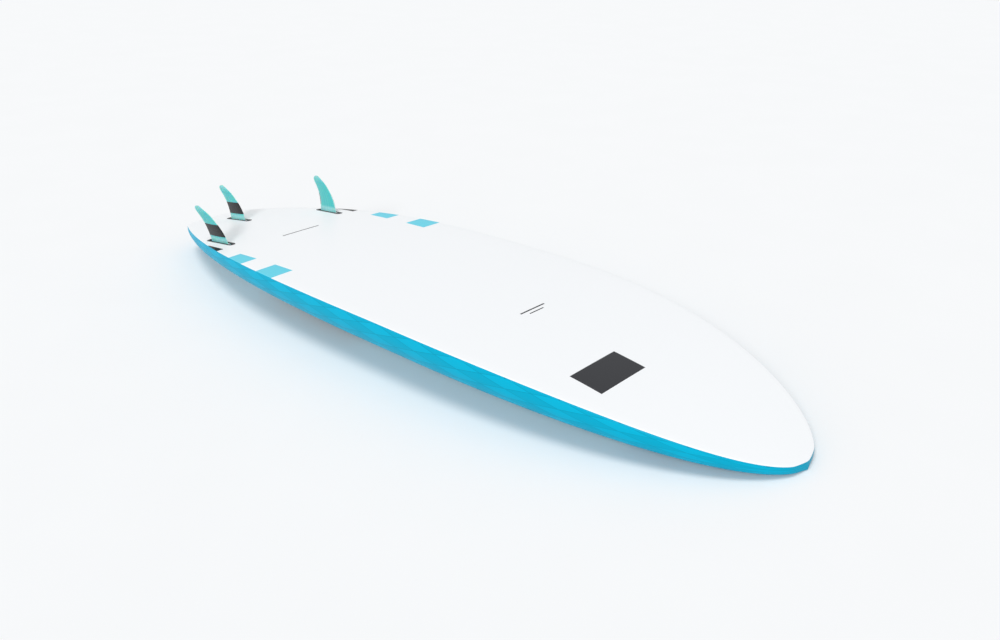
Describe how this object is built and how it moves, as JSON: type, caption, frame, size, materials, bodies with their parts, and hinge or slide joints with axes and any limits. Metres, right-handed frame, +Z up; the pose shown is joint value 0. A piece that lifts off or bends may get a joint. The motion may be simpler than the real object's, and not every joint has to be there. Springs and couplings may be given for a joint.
{
  "type": "windsurf board",
  "caption": "Long rounded sandwich-built board lying bottom up, with see-through fins in slide boxes under the tail and mast track, footstraps and pads on the deck.",
  "frame": {"origin": "middle of the board's length and width on the floor that it rests on, bottom up", "axes": "+X towards the nose, +Y towards the starboard rail, +Z up, out of the board's bottom, where the fins stand"},
  "size_m": [2.5, 0.7686, 0.2728],
  "materials": {
    "bottom": "glossy white painted laminate",
    "rail_and_deck": "glossy blue painted laminate",
    "foam": "expanded foam",
    "hard_foam": "high-density foam",
    "fin_box": "moulded black",
    "mast_track": "moulded black",
    "strap_plug": "moulded black",
    "strap_washer": "moulded black",
    "fin": "see-through teal resin",
    "stainless_steel": "brushed stainless steel",
    "strap_webbing": "black woven webbing",
    "strap_cover": "dark padded knit",
    "pad": "dark grey closed-cell foam",
    "vent": "moulded black",
    "vent_screw": "moulded dark grey",
    "o_ring": "black rubber"
  },
  "bodies": {
    "board": {"centre_fin_box": "fin_box", "port_fin_box": "fin_box", "starboard_fin_box": "fin_box", "fin_box_blocks": "hard_foam", "mast_track": "mast_track", "mast_track_block": "hard_foam", "strap_plugs": "strap_plug", "strap_washers": "strap_washer", "strap_screws": "stainless_steel", "port_strap_webbing": "strap_webbing", "port_strap_cover": "strap_cover", "starboard_strap_webbing": "strap_webbing", "starboard_strap_cover": "strap_cover", "rear_strap_webbing": "strap_webbing", "rear_strap_cover": "strap_cover", "port_pad": "pad", "starboard_pad": "pad", "rear_pad": "pad", "vent_body": "vent", "vent_o_ring": "o_ring", "bottom_skin": "bottom", "deck_skin": "rail_and_deck", "foam_core": "foam"},
    "centre_fin_unit": {"centre_fin": "fin", "centre_fin_screw": "stainless_steel", "centre_fin_plate": "stainless_steel", "centre_fin_cross_pin": "stainless_steel"},
    "port_fin_unit": {"port_fin": "fin", "port_fin_screw": "stainless_steel", "port_fin_plate": "stainless_steel", "port_fin_cross_pin": "stainless_steel"},
    "starboard_fin_unit": {"starboard_fin": "fin", "starboard_fin_screw": "stainless_steel", "starboard_fin_plate": "stainless_steel", "starboard_fin_cross_pin": "stainless_steel"},
    "vent_screw": {"vent_screw": "vent_screw"}
  },
  "joints": [
    {"name": "centre_fin_slide", "type": "slide", "parent": "board", "child": "centre_fin_unit", "axis": [0.9902, 0, 0.1397], "range_m": [-0.014, 0.011]},
    {"name": "port_fin_slide", "type": "slide", "parent": "board", "child": "port_fin_unit", "axis": [0.9942, 0.0399, 0.1001], "range_m": [-0.014, 0.011]},
    {"name": "starboard_fin_slide", "type": "slide", "parent": "board", "child": "starboard_fin_unit", "axis": [0.9942, -0.0399, 0.1001], "range_m": [-0.014, 0.011]},
    {"name": "vent_screw_turn", "type": "hinge", "parent": "board", "child": "vent_screw", "pos_m": [-0.14, 0, 0.06285], "axis": [-0.0229, 0, -0.9997], "range_deg": [0, 720]}
  ]
}
